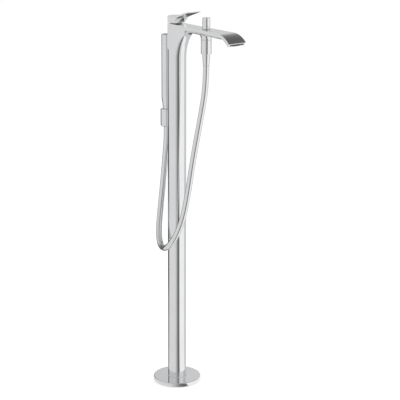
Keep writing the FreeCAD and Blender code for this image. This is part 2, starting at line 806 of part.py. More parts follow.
def waterways():
    """Everything that is cut out of the mixer body."""
    tools = [cylinder("cartridge_bore", "cartridge_dia / 2", "head_top", z="cartridge_floor")]
    tools += inlet_holes("tail_port", "tail_thread_dia / 2 + snug_gap", "tail_length + 2", PLUG_BOTTOM)
    tools += inlet_holes("drilling", "drilling_dia / 2", f"cartridge_floor - {PLUG_BOTTOM} + 1", PLUG_BOTTOM)
    rise_z = f"{CARTRIDGE_TOP} - rise_drop"
    tools.append(block("rise_way", "channel_width / 2", "rise_front - rise_back", f"{CHANNEL_TOP} - ({rise_z})",
                       y="0 - (rise_front + rise_back) / 2", z=rise_z))
    run = "(bend_start + channel_overrun)"
    channel_z = f"{CHANNEL_TOP} - channel_height"
    tools.append(block("channel", "channel_width", f"{run} - channel_back", "channel_height",
                       y=f"0 - ({run} + channel_back) / 2", z=channel_z))
    near = "0 - bend_way_width / 2"
    roof_r = "(bend_radius - bend_way_roof)"
    outer = cylinder("bend_way_outer", roof_r, "bend_way_width", near, "0 - bend_start", BEND_Z, SIDE)
    inner = cylinder("bend_way_inner", f"{roof_r} - bend_way_height", "bend_way_width", near,
                     "0 - bend_start", BEND_Z, SIDE)
    behind = "bend_start - 1"
    wedge = side_profile("bend_way_room", "belly_start", KEEL, behind, [(behind, KEEL)])
    tools.append(common("bend_way", cut("bend_way_ring", outer, inner), wedge))
    tools.append(mouth("mouth_recess", "mouth_width", "mouth_height", "mouth_depth", "0"))
    tools.append(cylinder("chamber", "chamber_dia / 2", f"{BUSH_BOTTOM} - chamber_floor + end_gap",
                          y=DIVERTER_Y, z="chamber_floor"))
    tools.append(cylinder("bush_bore", "bush_dia / 2 + snug_gap", "2 * bush_height", y=DIVERTER_Y, z=BUSH_BOTTOM))
    tools.append(cylinder("hose_port", "hose_port_dia / 2", f"chamber_floor - {BOSS_BOTTOM} + end_gap",
                          y=DIVERTER_Y, z=BOSS_BOTTOM))
    tools.append(cylinder("nipple_bore", "nipple_dia / 2 + snug_gap", f"chamber_floor - port_floor - {BOSS_BOTTOM}",
                          y=DIVERTER_Y, z=BOSS_BOTTOM))
    tools.append(core_groove("body_groove", f"{PLUG_BOTTOM} + plug_ring_edge"))
    tools.append(set_screw_pocket("body_pocket", HIGH_SCREW_Z))
    return tools


def mouth(name, width, height, depth, inset):
    """A block that lies in the spout's leaning end face, its outer side inset from it."""
    solid = doc.addObject("Part::Box", name)
    middle_u = f"({TIP_U} - (tip_thick / 2 - 0.4) * sin(tip_lean))"
    middle_z = f"({TIP_Z} - (tip_thick / 2 - 0.4) * cos(tip_lean))"
    inward = FreeCAD.Rotation(SIDE, size("tip_lean")).multVec(BACK)
    solid.Placement.Rotation = turned_to(SIDE, inward)
    bind(solid, Length=width, Width=depth, Height=height)
    # from the middle of the face: half the height down along it, and the inset inwards
    back = f"(({height}) / 2) * sin(tip_lean) + ({inset}) * cos(tip_lean)"
    down = f"(({height}) / 2) * cos(tip_lean) - ({inset}) * sin(tip_lean)"
    bind(solid, x=f"0 - ({width}) / 2", y=f"{back} - {middle_u}", z=f"{middle_z} - ({down})")
    return solid


def mixer_body():
    plug = cylinder("body_plug", PLUG_R, "plug_length + 1", z=PLUG_BOTTOM)
    boss = cylinder("boss", "boss_dia / 2", "boss_height", y=DIVERTER_Y, z=BOSS_BOTTOM)
    flare = cone("boss_flare", "boss_dia / 2", "boss_dia / 2 + boss_flare", "boss_flare_height",
                 "0", DIVERTER_Y, f"{KEEL} - boss_flare")
    solid = fuse("body_solid", head_core(), spout_plate(), plug, boss, flare)
    piece("mixer_body", cut("mixer_body", solid, *waterways()))
    piece("body_o_ring", o_ring("body_o_ring", CORE_RING_R, "core_ring_dia / 2",
                                z=f"{PLUG_BOTTOM} + plug_ring_edge"))
    piece("body_grub_screw", grub_screw("body_grub_screw", HIGH_SCREW_Z))
    insert = mouth("insert_bar", "mouth_width - 2 * end_gap", "mouth_height - 2 * end_gap",
                   "mouth_depth - outlet_sunk - end_gap", "outlet_sunk")
    slot = mouth("insert_slot", "mouth_width - 2 * outlet_edge", "outlet_slot", "mouth_depth + 2", "0 - 1")
    piece("outlet_insert", cut("outlet_insert", insert, slot))


# ---- cartridge and lever -----------------------------------------------------------------

def cartridge():
    outer = "(cartridge_dia / 2 - fit_gap)"
    bore = "(spool_dia / 2 + snug_gap)"
    floor = "cartridge_floor"
    near = "housing_groove_edge"
    far = "(housing_groove_edge + housing_groove_width)"
    waist = f"({outer} - housing_groove_depth)"
    shell = turned("cartridge_shell", [
        ("0", floor),
        (outer, floor),
        (outer, f"{floor} + {near}"),
        (waist, f"{floor} + {near}"),
        (waist, f"{floor} + {far}"),
        (outer, f"{floor} + {far}"),
        (outer, f"{CARTRIDGE_TOP} - {far}"),
        (waist, f"{CARTRIDGE_TOP} - {far}"),
        (waist, f"{CARTRIDGE_TOP} - {near}"),
        (outer, f"{CARTRIDGE_TOP} - {near}"),
        (outer, CARTRIDGE_TOP),
        (bore, CARTRIDGE_TOP),
        (bore, f"{floor} + housing_floor"),
        ("0", f"{floor} + housing_floor"),
    ])
    # each way in lies midway between the bore and the ring grooves
    way_x = f"(({waist} + {bore}) / 2)"
    way_r = "housing_way_dia / 2"
    way_top = "(housing_way_height + housing_way_dia / 2)"
    tools = [cylinder("housing_way_hot", way_r, way_top, f"0 - {way_x}", "0", floor),
             cylinder("housing_way_cold", way_r, way_top, way_x, "0", floor),
             cylinder("housing_cross", way_r, f"2 * {way_x}", f"0 - {way_x}", "0",
                      f"{floor} + housing_way_height", SIDE),
             block("housing_window", "housing_window_width", "cartridge_dia", "housing_window_height",
                   y="0 - cartridge_dia / 2", z=f"{CARTRIDGE_TOP} - housing_window_drop")]
    piece("cartridge_housing", cut("cartridge_housing", shell, *tools))
    ring_r = f"{outer} + fit_gap / 2 - housing_ring_dia / 2"
    middle = "housing_groove_edge + housing_groove_width / 2"
    rings = [o_ring("cartridge_ring_low", ring_r, "housing_ring_dia / 2", z=f"{floor} + {middle}"),
             o_ring("cartridge_ring_high", ring_r, "housing_ring_dia / 2", z=f"{CARTRIDGE_TOP} - ({middle})")]
    piece("cartridge_o_rings", group("cartridge_o_rings", *rings))
    nut_r = "cartridge_dia / 2 - end_gap"
    piece("cartridge_nut", turned("cartridge_nut", [
        (nut_r, CARTRIDGE_TOP),
        (nut_r, f"{CARTRIDGE_TOP} + nut_height"),
        ("nut_lip_dia / 2", f"{CARTRIDGE_TOP} + nut_height"),
        ("nut_lip_dia / 2", f"{CARTRIDGE_TOP} + nut_lip"),
        ("nut_room_dia / 2", f"{CARTRIDGE_TOP} + nut_lip"),
        ("nut_room_dia / 2", CARTRIDGE_TOP),
    ]))
    mixing_spool()


def mixing_spool():
    """Spool that turns to mix and rises to open, with a neck that the lever's fork holds."""
    stem = "stem_dia / 2"
    wide = "spool_dia / 2"
    low = "cartridge_floor + spool_rest"
    top = f"{low} + spool_length"
    piece("mixing_spool", turned("mixing_spool", [
        ("0", low),
        (wide, low),
        (wide, f"{low} + spool_foot"),
        (f"{wide} - spool_waist_depth", f"{low} + spool_foot + spool_taper"),
        (f"{wide} - spool_waist_depth", f"{low} + spool_waist_top"),
        (wide, f"{low} + spool_waist_top + spool_taper"),
        (wide, f"{low} + spool_groove_low"),
        (f"{wide} - spool_groove_depth", f"{low} + spool_groove_low"),
        (f"{wide} - spool_groove_depth", f"{low} + spool_groove_low + spool_groove_width"),
        (wide, f"{low} + spool_groove_low + spool_groove_width"),
        (wide, top),
        (stem, top),
        (stem, f"{PIVOT_Z} - stem_neck_height / 2"),
        ("stem_neck_dia / 2", f"{PIVOT_Z} - stem_neck_height / 2"),
        ("stem_neck_dia / 2", f"{PIVOT_Z} + stem_neck_height / 2"),
        ("stem_button_dia / 2", f"{PIVOT_Z} + stem_neck_height / 2"),
        ("stem_button_dia / 2", f"{PIVOT_Z} + stem_neck_height / 2 + stem_button_height"),
        ("0", f"{PIVOT_Z} + stem_neck_height / 2 + stem_button_height"),
    ]))
    ring = o_ring("spool_o_ring", f"{wide} - spool_ring_dia / 2", "spool_ring_dia / 2",
                  z=f"{low} + spool_groove_low + spool_groove_width / 2")
    piece("spool_o_ring", ring)


def lever_carrier():
    """Turns in the nut; its lug stands behind the stem and holds the pivot pin."""
    hole = "stem_dia / 2 + fit_gap"
    low = f"{CARTRIDGE_TOP} + fit_gap"
    shoulder = f"{CARTRIDGE_TOP} + nut_lip - fit_gap"
    hub_top = "head_top + fit_gap + end_gap"
    hub = turned("carrier_hub", [
        (hole, low),
        ("nut_room_dia / 2 - fit_gap", low),
        ("nut_room_dia / 2 - fit_gap", shoulder),
        ("nut_lip_dia / 2 - fit_gap", shoulder),
        ("nut_lip_dia / 2 - fit_gap", hub_top),
        (hole, hub_top),
    ])
    back = "(pivot_back + pivot_lug_depth / 2)"
    arm = block("carrier_arm", "carrier_arm_width", back, "carrier_arm_thick",
                y=f"{back} / 2", z="head_top + fit_gap")
    lug = block("carrier_lug", "pivot_lug_width", "pivot_lug_depth", "pivot_lift + pivot_pin_dia",
                y="pivot_back", z="head_top + fit_gap")
    stem_way = cylinder("carrier_stem_way", hole, "nut_height", z="head_top - nut_height / 2")
    pin_hole = cross_hole("carrier_pin_hole")
    piece("lever_carrier", cut("lever_carrier", fuse("carrier_solid", hub, arm, lug), stem_way, pin_hole))
    pin = cylinder("lever_pivot_pin", "pivot_pin_dia / 2", "pivot_pin_length", "0 - pivot_pin_length / 2",
                   "pivot_back", PIVOT_Z, SIDE)
    piece("lever_pivot_pin", pin)


def cross_hole(name):
    """Hole for the pivot pin, right across the link."""
    return cylinder(name, "pivot_pin_dia / 2 + snug_gap", "link_width", "0 - link_width / 2",
                    "pivot_back", PIVOT_Z, SIDE)


def lever_link():
    """Metal core of the handle: ears on the pivot pin and a fork round the stem's neck."""
    back = "(pivot_back - link_back)"
    inner_back = f"({back} - link_back_wall)"
    inner_width = "(link_width - 2 * link_wall)"
    low = "head_top + link_rise"
    core = block("link_core", "link_width", f"{back} + link_front", "link_height",
                 y=f"({back} - link_front) / 2", z=low)
    room = block("link_room", inner_width, f"{inner_back} + link_front + end_gap", "link_height + end_gap",
                 y=f"({inner_back} - link_front - end_gap) / 2", z=low)
    fork = block("link_fork", f"{inner_width} + 2 * end_gap", f"{inner_back} + link_front", "fork_thick",
                 y=f"({inner_back} - link_front) / 2", z=f"{PIVOT_Z} - fork_thick / 2")
    # the neck stands in a slot that is open to the front
    gap_depth = f"(link_front + stem_neck_dia / 2 + fork_throat)"
    gap = block("link_gap", "stem_neck_dia + 2 * fit_gap", gap_depth, "fork_thick + 2 * end_gap",
                y=f"{gap_depth} / 2 - link_front", z=f"{PIVOT_Z} - fork_thick / 2 - end_gap")
    ears = []
    ear_x = "(pivot_lug_width / 2 + pivot_gap + pivot_ear_width / 2)"
    for side, x in (("near", f"0 - {ear_x}"), ("far", ear_x)):
        ears.append(block("link_ear_" + side, "pivot_ear_width", "pivot_ear_depth", "pivot_ear_height", x,
                          "pivot_back + pivot_ear_back - pivot_ear_depth / 2", f"{PIVOT_Z} - pivot_ear_height / 2"))
    screw_z = f"{PIVOT_Z} + lever_screw_rise"
    thread = cylinder("link_thread", "lever_screw_dia / 2 + snug_gap", "link_width / 2",
                      "lever_screw_start - end_room", "lever_screw_place", screw_z, SIDE)
    frame = fuse("link_solid", cut("link_frame", core, room), fork, *ears)
    piece("lever_link", cut("lever_link", frame, gap, cross_hole("link_pin_hole"), thread))
    screw = cylinder("lever_screw_shank", "lever_screw_dia / 2", "lever_screw_length", "lever_screw_start",
                     "lever_screw_place", screw_z, SIDE)
    socket = cylinder("lever_screw_socket", "lever_screw_dia / 4", "lever_screw_length / 3",
                      "lever_screw_start + lever_screw_length * 2 / 3", "lever_screw_place", screw_z, SIDE)
    piece("lever_grub_screw", cut("lever_grub_screw", screw, socket))


def lever_handle():
    """Cap and blade in one, from the side and then from above, hollow under the cap."""
    tip_z = f"{CAP_TOP} + (lever_reach - 12) * tan(lever_rise)"
    root_z = f"{CAP_TOP} + 8 * tan(lever_rise)"
    side = padded("lever_side", [
        ("1 - column_dia / 2", CAP_BOTTOM),
        ("12", CAP_BOTTOM),
        ("27", f"{CAP_TOP} + 15 * tan(lever_rise) - lever_thick + 0.4", "24"),
        ("lever_reach - 0.4", f"{tip_z} - lever_thick + 0.8"),
        ("lever_reach", tip_z),
        ("20", root_z, "0 - 260"),
        ("3", CAP_TOP, "51.2"),
        ("0 - column_dia / 2", CAP_TOP),
        ("0 - column_dia / 2", f"{CAP_BOTTOM} + 1"),
    ], FORWARD, UP, "lever_tip_width + 10")
    half = "head_width / 2"
    tip = "lever_tip_width / 2"
    back = f"0 - sqrt({COLUMN_R} * {COLUMN_R} - {half} * {half})"
    plan = padded("lever_plan", [
        (back, f"0 - {half}", f"0 - {COLUMN_R}"),
        ("12", f"0 - {half}"),
        ("lever_reach - 2", f"0 - {tip}"),
        ("lever_reach + 0.2", f"2.2 - {tip}", "0 - 2.3"),
        ("lever_reach + 0.2", f"{tip} - 2.2"),
        ("lever_reach - 2", tip, "0 - 2.3"),
        ("12", half),
        (back, half),
    ], FORWARD, SIDE, "3 * head_top")
    room_back = f"({COLUMN_R} - cap_back_wall)"
    room = block("lever_room", "cap_room_width", f"{room_back} + link_front", "cap_height - cap_roof",
                 y=f"({room_back} - link_front) / 2", z=CAP_BOTTOM)
    hole = cylinder("lever_screw_hole", "lever_screw_dia / 2 + snug_gap", "head_width / 2",
                    "link_width / 2 - end_room", "lever_screw_place", f"{PIVOT_Z} + lever_screw_rise", SIDE)
    piece("lever_handle", cut("lever_handle", common("lever_solid", side, plan), room, hole))


# ---- diverter ----------------------------------------------------------------------------

def diverter():
    stem = "(diverter_stem_dia / 2)"
    piston = "(chamber_dia / 2 - fit_gap - snug_gap)"
    cup = "spring_cup_dia / 2"
    washer_z = "(chamber_floor + end_gap)"
    piston_z = f"({washer_z} + diverter_washer_thick)"
    piece("diverter_washer", tube("diverter_washer", f"{piston} - washer_inset", f"{stem} + end_gap",
                                  "diverter_washer_thick", y=DIVERTER_Y, z=washer_z))
    piece("diverter_piston", turned("diverter_piston", [
        (f"{stem} + snug_gap", piston_z),
        (piston, piston_z),
        (piston, f"{piston_z} + piston_height"),
        (cup, f"{piston_z} + piston_height"),
        (cup, f"{piston_z} + piston_floor"),
        (f"{stem} + snug_gap", f"{piston_z} + piston_floor"),
    ], y=DIVERTER_Y))
    bush_top = f"({BUSH_BOTTOM} + bush_height)"
    cup_roof = f"({BUSH_BOTTOM} + bush_cup_depth)"
    piece("diverter_bush", turned("diverter_bush", [
        ("bush_dia / 2", BUSH_BOTTOM),
        ("bush_dia / 2", bush_top),
        (f"{stem} + stem_ring_groove", bush_top),
        (f"{stem} + stem_ring_groove", f"{bush_top} - stem_ring_groove"),
        (f"{stem} + snug_gap", f"{bush_top} - stem_ring_groove"),
        (f"{stem} + snug_gap", cup_roof),
        (cup, cup_roof),
        (cup, BUSH_BOTTOM),
    ], y=DIVERTER_Y))
    piece("diverter_o_ring", o_ring("diverter_o_ring", f"{stem} + stem_ring_groove / 2", "stem_ring_dia / 2",
                                    y=DIVERTER_Y, z=f"{bush_top} - stem_ring_groove / 2"))
    knob_r = "knob_dia / 2"
    seam = f"{KNOB_BOTTOM} + knob_height - knob_cap_height"
    top = f"{KNOB_BOTTOM} + knob_height"
    peg_low = f"({seam} - cap_peg)"
    peg_r = f"({knob_r} - knob_wall)"
    piece("diverter_stem", cylinder("diverter_stem", stem, f"{peg_low} - {washer_z}", y=DIVERTER_Y, z=washer_z))
    piece("diverter_knob", turned("diverter_knob", [
        (f"{stem} + snug_gap", KNOB_BOTTOM),
        (f"{knob_r} - seam_bevel", KNOB_BOTTOM),
        (knob_r, f"{KNOB_BOTTOM} + seam_bevel"),
        (knob_r, f"{seam} - seam_bevel"),
        (f"{knob_r} - seam_bevel", seam),
        (peg_r, seam),
        (peg_r, f"{peg_low} + end_gap"),
        (f"{stem} + snug_gap", f"{peg_low} + end_gap"),
    ], y=DIVERTER_Y))
    piece("diverter_knob_cap", turned("diverter_knob_cap", [
        ("0", f"{peg_low} + 4 * end_gap"),
        (f"{peg_r} - snug_gap", f"{peg_low} + 4 * end_gap"),
        (f"{peg_r} - snug_gap", seam),
        (f"{knob_r} - seam_bevel", seam),
        (knob_r, f"{seam} + seam_bevel"),
        (knob_r, f"{top} - knob_round"),
        (f"{knob_r} - knob_round", top, "0 - knob_round"),
        ("0", top),
    ], y=DIVERTER_Y))
    diverter_spring(f"{piston_z} + piston_floor + snug_gap", f"{cup_roof} - snug_gap")


def diverter_spring(low, high):
    """Return spring between the piston's cup and the bush, on eight corners a turn."""
    wire = size("spring_wire / 2")
    rise = size(high) - size(low) - 2 * wire
    steps = 8 * SPRING_TURNS
    corners = []
    for i in range(steps + 1):
        turn = 2 * math.pi * i / 8
        reach = size("spring_dia / 2") / math.cos(math.pi / 8)
        corners.append((reach * math.cos(turn), reach * math.sin(turn), rise * i / steps))
    path, radii = route_wire(corners, 0.5)
    first_run = FreeCAD.Vector(*corners[1]) - FreeCAD.Vector(*corners[0])
    section = Part.Wire(Part.makeCircle(wire, FreeCAD.Vector(*corners[0]), first_run))
    spring = doc.addObject("Part::Feature", "diverter_spring")
    spring.Shape = path.makePipeShell([section], True, False)
    spring.Placement.Base = FreeCAD.Vector(0, size(DIVERTER_Y), size(low) + wire)
    piece("diverter_spring", spring)


# ---- hose --------------------------------------------------------------------------------

def hose_fittings():
    y = DIVERTER_Y
    thread = "hose_thread_dia / 2"
    nipple = "nipple_dia / 2"
    valve = "valve_dia / 2"
    port_top = "(chamber_floor - port_floor - end_gap)"
    lip_top = f"({NIPPLE_BOTTOM} + nipple_lip)"
    valve_top = f"({BOSS_BOTTOM} - nipple_web)"
    piece("hose_nipple", turned("hose_nipple", [
        ("hose_port_dia / 2", NIPPLE_BOTTOM),
        (thread, NIPPLE_BOTTOM),
        (thread, f"{BOSS_BOTTOM} - end_gap"),
        (nipple, f"{BOSS_BOTTOM} - end_gap"),
        (nipple, port_top),
        ("nipple_hole_dia / 2", port_top),
        ("nipple_hole_dia / 2", valve_top),
        (valve, valve_top),
        (valve, lip_top),
        ("hose_port_dia / 2", lip_top),
    ], y=y))
    piece("check_valve", tube("check_valve", f"{valve} - snug_gap", "valve_bore / 2",
                              f"{valve_top} - {lip_top} - 2 * end_gap", y=y, z=f"{lip_top} + end_gap"))
    washer_low = f"({NIPPLE_BOTTOM} - snug_gap - hose_washer_thick)"
    collar = "swivel_collar_dia / 2"
    piece("hose_washer", tube("hose_washer", collar, "hose_port_dia / 2 + washer_inset", "hose_washer_thick",
                              y=y, z=washer_low))
    nut_r = "hose_nut_dia / 2"
    swivel = "swivel_dia / 2"
    nut_floor = f"({NUT_BOTTOM} + hose_nut_floor)"
    piece("hose_nut", turned("hose_nut", [
        (f"{swivel} + washer_inset", NUT_BOTTOM),
        (f"{nut_r} - hose_nut_bevel", NUT_BOTTOM),
        (nut_r, f"{NUT_BOTTOM} + hose_nut_bevel"),
        (nut_r, f"{NUT_TOP} - hose_nut_bevel"),
        (f"{nut_r} - hose_nut_bevel", NUT_TOP),
        (f"{thread} + fit_gap / 2", NUT_TOP),
        (f"{thread} + fit_gap / 2", nut_floor),
        (f"{swivel} + washer_inset", nut_floor),
    ], y=y))
    bore = "hose_bore / 2"
    band = "ferrule_dia / 2"
    band_top = f"({NUT_BOTTOM} - fit_gap)"
    collar_top = f"({washer_low} - snug_gap)"
    piece("hose_upper_ferrule", turned("hose_upper_ferrule", [
        (bore, "hose_start"),
        ("hose_dia / 2 + ferrule_wall", "hose_start"),
        (band, f"{NUT_BOTTOM} - ferrule_band"),
        (band, band_top),
        (swivel, band_top),
        (swivel, f"{nut_floor} + end_gap"),
        (collar, f"{nut_floor} + end_gap"),
        (collar, collar_top),
        (bore, collar_top),
    ], y=y))


def route_wire(points, share=0.45):
    """Straight runs joined by tangent arcs that take a share of the shorter run beside each."""
    places = [FreeCAD.Vector(*p) for p in points]
    edges = []
    radii = []
    last = places[0]
    for before, here, after in zip(places, places[1:], places[2:]):
        inward = (here - before).normalize()
        onward = (after - here).normalize()
        turn = inward.getAngle(onward)
        reach = share * min((here - before).Length, (after - here).Length)
        radius = reach / math.tan(turn / 2)
        radii.append(radius)
        start = here - inward * reach
        end = here + onward * reach
        middle_way = (onward - inward).normalize()
        middle = here + middle_way * (radius / math.cos(turn / 2) - radius)
        if (start - last).Length > 1e-6:
            edges.append(Part.LineSegment(last, start).toShape())
        edges.append(Part.Arc(start, middle, end).toShape())
        last = end
    edges.append(Part.LineSegment(last, places[-1]).toShape())
    return Part.Wire(edges), radii


def shower_hose():
    wire, radii = route_wire(HOSE_ROUTE)
    radius = size("hose_dia / 2")
    section = Part.Wire(Part.makeCircle(radius, FreeCAD.Vector(*HOSE_ROUTE[0]), DOWN))
    hose = doc.addObject("Part::Feature", "shower_hose")
    hose.Shape = wire.makePipeShell([section], True, False)
    expected = math.pi * radius ** 2 * wire.Length
    print("hose radii", " ".join(f"{r:.0f}" for r in radii))
    print(f"hose length {wire.Length:.0f}, volume {hose.Shape.Volume:.0f} against {expected:.0f}")
    piece("shower_hose", hose)


# ---- hand shower -------------------------------------------------------------------------

def hand_shower():
    y = "hand_back"
    radius = "hand_dia / 2"
    neck = "neck_dia / 2"
    thread = "hand_thread_dia / 2"
    floor = "(hand_bottom - cone_floor + end_gap)"
    tail_top = f"({floor} + end_gap + hand_tail_collar)"
    washer_top = f"({tail_top} + end_gap + hand_washer_thick)"
    piece("hand_hose_nut", turned("hand_hose_nut", [
        ("cone_hole_dia / 2", "cone_bottom"),
        ("cone_bottom_dia / 2", "cone_bottom"),
        (f"{neck} - end_gap", "hand_bottom - fit_gap"),
        (f"{thread} + washer_inset", "hand_bottom - fit_gap"),
        (f"{thread} + washer_inset", floor),
        ("cone_hole_dia / 2", floor),
    ], y=y))
    tail_bore = "hand_tail_bore / 2"
    tail_r = "(cone_hole_dia / 2 - washer_inset)"
    piece("hand_hose_tail", turned("hand_hose_tail", [
        (tail_bore, "cone_bottom + fit_gap"),
        (tail_r, "cone_bottom + fit_gap"),
        (tail_r, f"{floor} + end_gap"),
        (thread, f"{floor} + end_gap"),
        (thread, tail_top),
        (tail_bore, tail_top),
    ], y=y))
    piece("hand_hose_washer", tube("hand_hose_washer", thread, "hand_washer_bore / 2", "hand_washer_thick",
                                   y=y, z=f"{tail_top} + end_gap"))
    bore = "hand_bore / 2"
    wall = f"({radius} - hand_rim)"
    piece("hand_shower_handle", turned("hand_shower_handle", [
        (bore, f"{washer_top} + end_gap"),
        (thread, f"{washer_top} + end_gap"),
        (thread, "hand_bottom"),
        (neck, "hand_bottom"),
        (f"{neck} + neck_flare", "hand_bottom + neck_height"),
        (radius, "hand_bottom + neck_height + shoulder_height"),
        (radius, "hand_seam - seam_bevel"),
        (f"{radius} - seam_bevel", "hand_seam"),
        (wall, "hand_seam"),
        (wall, "hand_bottom + neck_height + shoulder_height + 4"),
        (bore, "hand_bottom + neck_height + shoulder_height - 4"),
    ], y=y))
    socket = f"({wall} - washer_inset)"
    groove = f"({socket} - head_groove_depth)"
    inner = f"({socket} - head_socket_wall)"
    ring_low = "hand_seam - head_ring_drop - head_groove_width / 2"
    ring_high = "hand_seam - head_ring_drop + head_groove_width / 2"
    shelf = "(hand_top - spray_depth)"
    piece("hand_shower_head", turned("hand_shower_head", [
        (inner, "hand_seam - head_socket_depth"),
        (socket, "hand_seam - head_socket_depth"),
        (socket, ring_low),
        (groove, ring_low),
        (groove, ring_high),
        (socket, ring_high),
        (socket, "hand_seam"),
        (f"{radius} - seam_bevel", "hand_seam"),
        (radius, "hand_seam + seam_bevel"),
        (radius, "hand_top - hand_round"),
        (f"{radius} - hand_round", "hand_top", "0 - hand_round"),
        (wall, "hand_top"),
        (wall, shelf),
        (inner, shelf),
    ], y=y))
    ring = o_ring("head_o_ring", f"{wall} - snug_gap - head_ring_dia / 2", "head_ring_dia / 2",
                  y=y, z="hand_seam - head_ring_drop")
    piece("head_o_ring", ring)
    spray_plate(y, f"{wall} - snug_gap", f"{shelf} + snug_gap")


def spray_plate(y, radius, low):
    """Soft plate in the end of the hand shower, with rings of small nozzles."""
    disc = cylinder("spray_disc", radius, "spray_thick", y=y, z=low)
    nozzles = []
    holes = []
    for ring, (share, count) in enumerate(NOZZLE_RINGS):
        for i in range(count):
            turn = 360 * i / count
            x_text = f"{share} * spray_ring * cos({turn})"
            y_text = f"{y} + {share} * spray_ring * sin({turn})"
            mark = f"{ring}_{i}"
            nozzles.append(cylinder("nozzle_" + mark, "nozzle_dia / 2", "nozzle_height + end_room", x_text, y_text,
                                    f"{low} + spray_thick - end_room"))
            holes.append(cylinder("nozzle_hole_" + mark, "nozzle_bore / 2", "2 * spray_thick", x_text, y_text,
                                  f"{low} - end_room"))
    piece("spray_plate", cut("spray_plate", fuse("spray_solid", disc, *nozzles), *holes))


# ---- holder ------------------------------------------------------------------------------

def holder():
    y = "hand_back"
    outer = "holder_dia / 2"
    bore = f"({outer} - holder_wall)"
    rise = "holder_height"
    low = "holder_bottom"
    shell = turned("holder_shell", [
        (f"{bore} - holder_taper", low),
        (f"{outer} - holder_foot_bevel", low),
        (outer, f"{low} + holder_foot_bevel"),
        (outer, f"{low} + {rise} - holder_rim_bevel"),
        (f"{outer} - holder_rim_bevel", f"{low} + {rise}"),
        (bore, f"{low} + {rise}"),
    ], y=y)
    neck = block("holder_neck", "holder_neck_width", "hand_back", f"{rise} - 2 * holder_neck_edge",
                 y="hand_back / 2", z=f"{low} + holder_neck_edge")
    neck_room = cylinder("holder_neck_room", f"{COLUMN_R} + snug_gap", "2 * head_top")
    inside = cone("holder_inside", f"{bore} - holder_taper", bore, rise, "0", y, low)
    slot = block("holder_slot_way", "holder_slot", "hand_back", f"{rise} + 2", y="1.5 * hand_back", z=f"{low} - 1")
    wall_y = f"(hand_back - {bore})"
    screw = "(holder_screw_dia / 2)"
    sunk = f"({screw} + holder_screw_head + washer_inset)"
    head_y = f"({wall_y} - end_room / 2 - holder_screw_head)"
    way = cylinder("holder_screw_way", f"{screw} + end_gap", "hand_back", "0", "0", SCREW_Z, BACK)
    sink = cone("holder_sink", f"{screw} + washer_inset", sunk, "holder_screw_head", "0", head_y, SCREW_Z, BACK)
    mouth_way = cylinder("holder_sink_mouth", sunk, "holder_wall", "0", f"{head_y} + holder_screw_head",
                         SCREW_Z, BACK)
    arm = cut("holder_arm", neck, neck_room)
    solid = fuse("holder_solid", shell, arm)
    piece("holder_socket", cut("holder_socket", solid, inside, slot, way, sink, mouth_way))
    nut_low = "(cone_bottom_dia / 2 + fit_gap)"
    nut_high = "(neck_dia / 2 + fit_gap)"
    liner = cone("liner_outer", f"{bore} - holder_taper - snug_gap", f"{bore} - snug_gap", rise, "0", y, low)
    liner_bore = cone("liner_bore", f"{nut_low} - end_gap", nut_high, rise, "0", y, low)
    liner_slot = block("liner_slot", "holder_slot", "hand_back", f"{rise} + 2", y="1.5 * hand_back",
                       z=f"{low} - 1")
    piece("holder_liner", cut("holder_liner", liner, liner_bore, liner_slot))
    # the screw draws a rivet nut against the inside of the column
    nut_start = f"({BORE_R} - rivet_nut_depth)"
    shank_start = f"({nut_start} + end_room)"
    head = cone("holder_screw_head", screw, f"{screw} + holder_screw_head", "holder_screw_head",
                "0", head_y, SCREW_Z, BACK)
    shank = cylinder("holder_screw_shank", screw, f"{head_y} + end_gap - {shank_start}", "0", shank_start,
                     SCREW_Z, BACK)
    socket = cylinder("holder_screw_socket", "holder_socket_dia / 2", "holder_screw_head", "0",
                      f"{head_y} + end_room", SCREW_Z, BACK)
    piece("holder_screw", cut("holder_screw", fuse("holder_screw_solid", head, shank), socket))
    body = cylinder("rivet_nut_body", f"{screw} + rivet_nut_wall", f"{COLUMN_R} - {nut_start} - fit_gap - end_gap",
                    "0", nut_start, SCREW_Z, BACK)
    bulge = cylinder("rivet_nut_bulge", f"{screw} + rivet_bulge_wall", "rivet_bulge", "0",
                     f"{BORE_R} - rivet_bulge - rivet_bulge_gap", SCREW_Z, BACK)
    thread = cylinder("rivet_nut_thread", f"{screw} + snug_gap", "2 * rivet_nut_depth", "0", f"{nut_start} - 1",
                      SCREW_Z, BACK)
    piece("holder_rivet_nut", cut("holder_rivet_nut", fuse("rivet_nut_solid", body, bulge), thread))


# ---- the whole filler --------------------------------------------------------------------

def check():
    """Stop if a feature failed or a piece has no sound solid."""
    for thing in doc.Objects:
        if "Invalid" in thing.State or "Error" in thing.State:
            raise RuntimeError(f"{thing.Name} failed: {thing.State}")
    for name, thing in pieces.items():
        if thing.Shape.isNull() or not thing.Shape.isValid() or not thing.Shape.Solids:
            raise RuntimeError(f"{name} has no sound solid")


def write():
    os.makedirs("parts", exist_ok=True)
    for name, thing in pieces.items():
        thing.Shape.exportStep(f"parts/{name}.step")


floor_flange()
column_spigot()
column()
supplies()
mixer_body()
cartridge()
lever_carrier()
lever_link()
lever_handle()
diverter()
hose_fittings()
shower_hose()
hand_shower()
holder()
doc.recompute()
check()
write()
print(len(pieces), "pieces written")
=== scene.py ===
import json
import math
import bpy
from mathutils import Matrix, Vector


